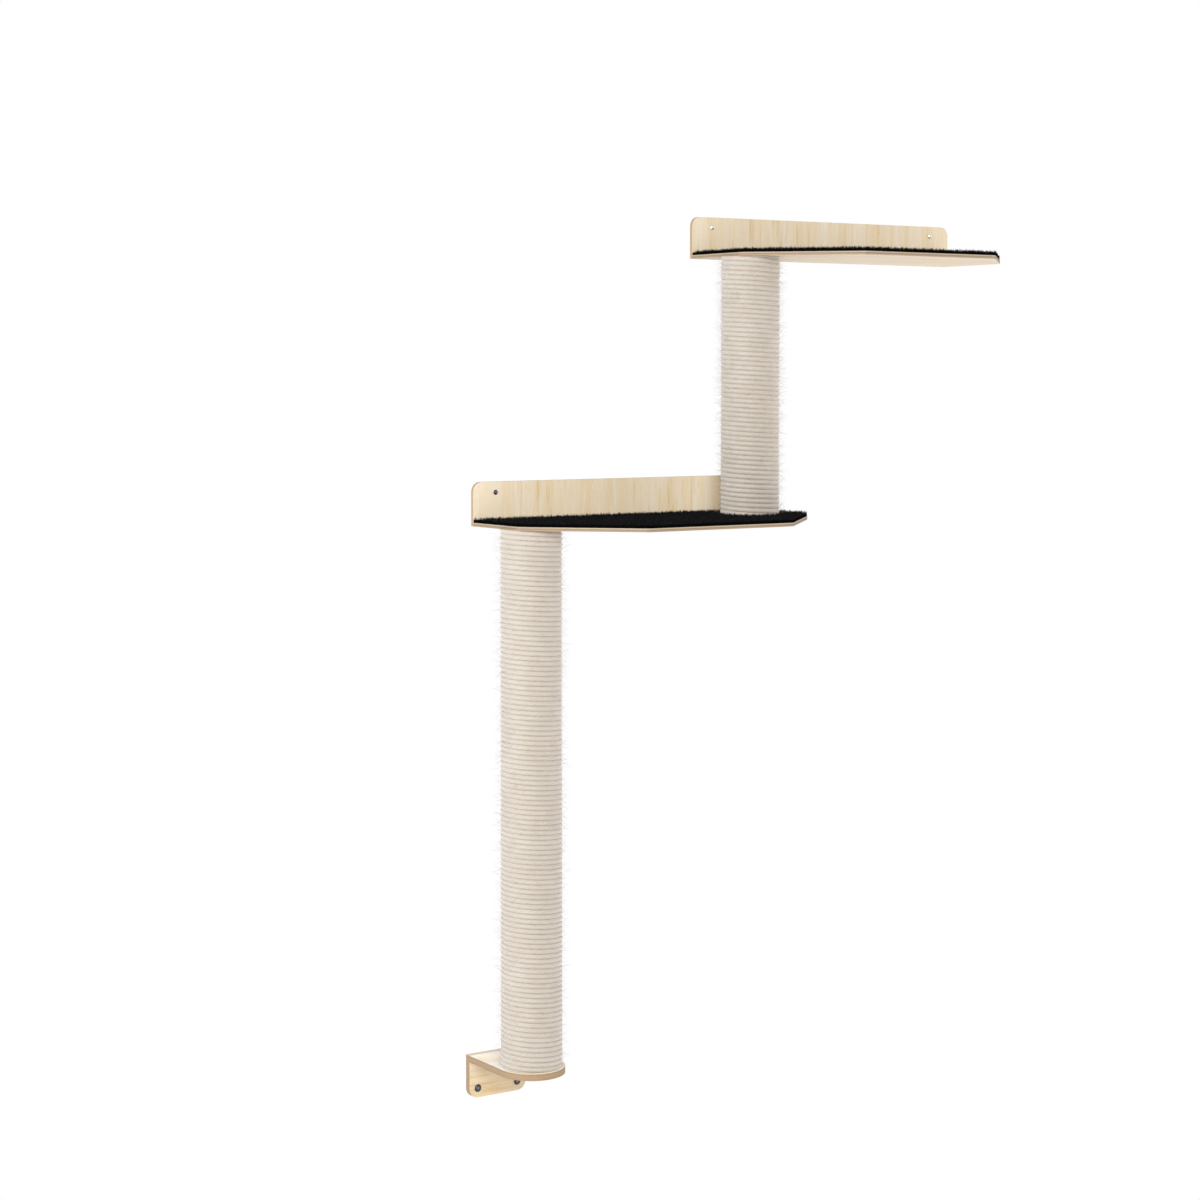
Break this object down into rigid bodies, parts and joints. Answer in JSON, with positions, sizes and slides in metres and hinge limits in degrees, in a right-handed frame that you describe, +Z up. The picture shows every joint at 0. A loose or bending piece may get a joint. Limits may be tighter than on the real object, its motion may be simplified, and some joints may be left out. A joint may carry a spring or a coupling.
{
  "type": "wall-mounted cat scratcher",
  "caption": "Wall-mounted cat climber: carpeted plywood shelves stepped sideways and joined by rope-wound scratching posts, with a round-ended wall bracket under the long post.",
  "frame": {"origin": "midway between the upper shelf's two wall screws, on the wall plane", "axes": "+X along the wall to the right as the part is faced, +Y into the wall, +Z up"},
  "size_m": [1.051, 0.345, 1.483],
  "materials": {
    "shelf_ply": "sanded birch ply, bare",
    "board_ply": "sanded pine ply, bare, grain upright",
    "bracket_ply": "sanded pine ply, bare, grain level",
    "carpet": "short dense cut pile",
    "rope": "twisted sisal, faintly hairy",
    "card_tube": "spiral-wound card",
    "plug_wood": "turned softwood",
    "bright_steel": "bright zinc",
    "dark_steel": "black zinc",
    "zinc_steel": "zinc",
    "insert_brass": "plain"
  },
  "bodies": {
    "root": {"upper_shelf": "shelf_ply", "lower_shelf": "shelf_ply", "upper_wall_board": "board_ply", "lower_wall_board": "board_ply", "bracket_wall_plate": "bracket_ply", "bracket_tongue": "bracket_ply", "upper_carpet": "carpet", "lower_carpet": "carpet", "upper_post_rope": "rope", "upper_post_rope_cover": "rope", "lower_post_rope": "rope", "lower_post_rope_cover": "rope", "upper_post_tube": "card_tube", "lower_post_tube": "card_tube", "upper_post_bottom_plug": "plug_wood", "upper_post_top_plug": "plug_wood", "lower_post_bottom_plug": "plug_wood", "lower_post_top_plug": "plug_wood", "upper_wall_screws": "bright_steel", "lower_wall_screws": "dark_steel", "bracket_wall_screws": "dark_steel", "upper_joint_screws": "zinc_steel", "lower_joint_screws": "zinc_steel", "bracket_joint_screws": "zinc_steel", "upper_post_bolts": "zinc_steel", "lower_post_bolts": "zinc_steel", "upper_post_inserts": "insert_brass", "lower_post_inserts": "insert_brass"}
  },
  "joints": []
}
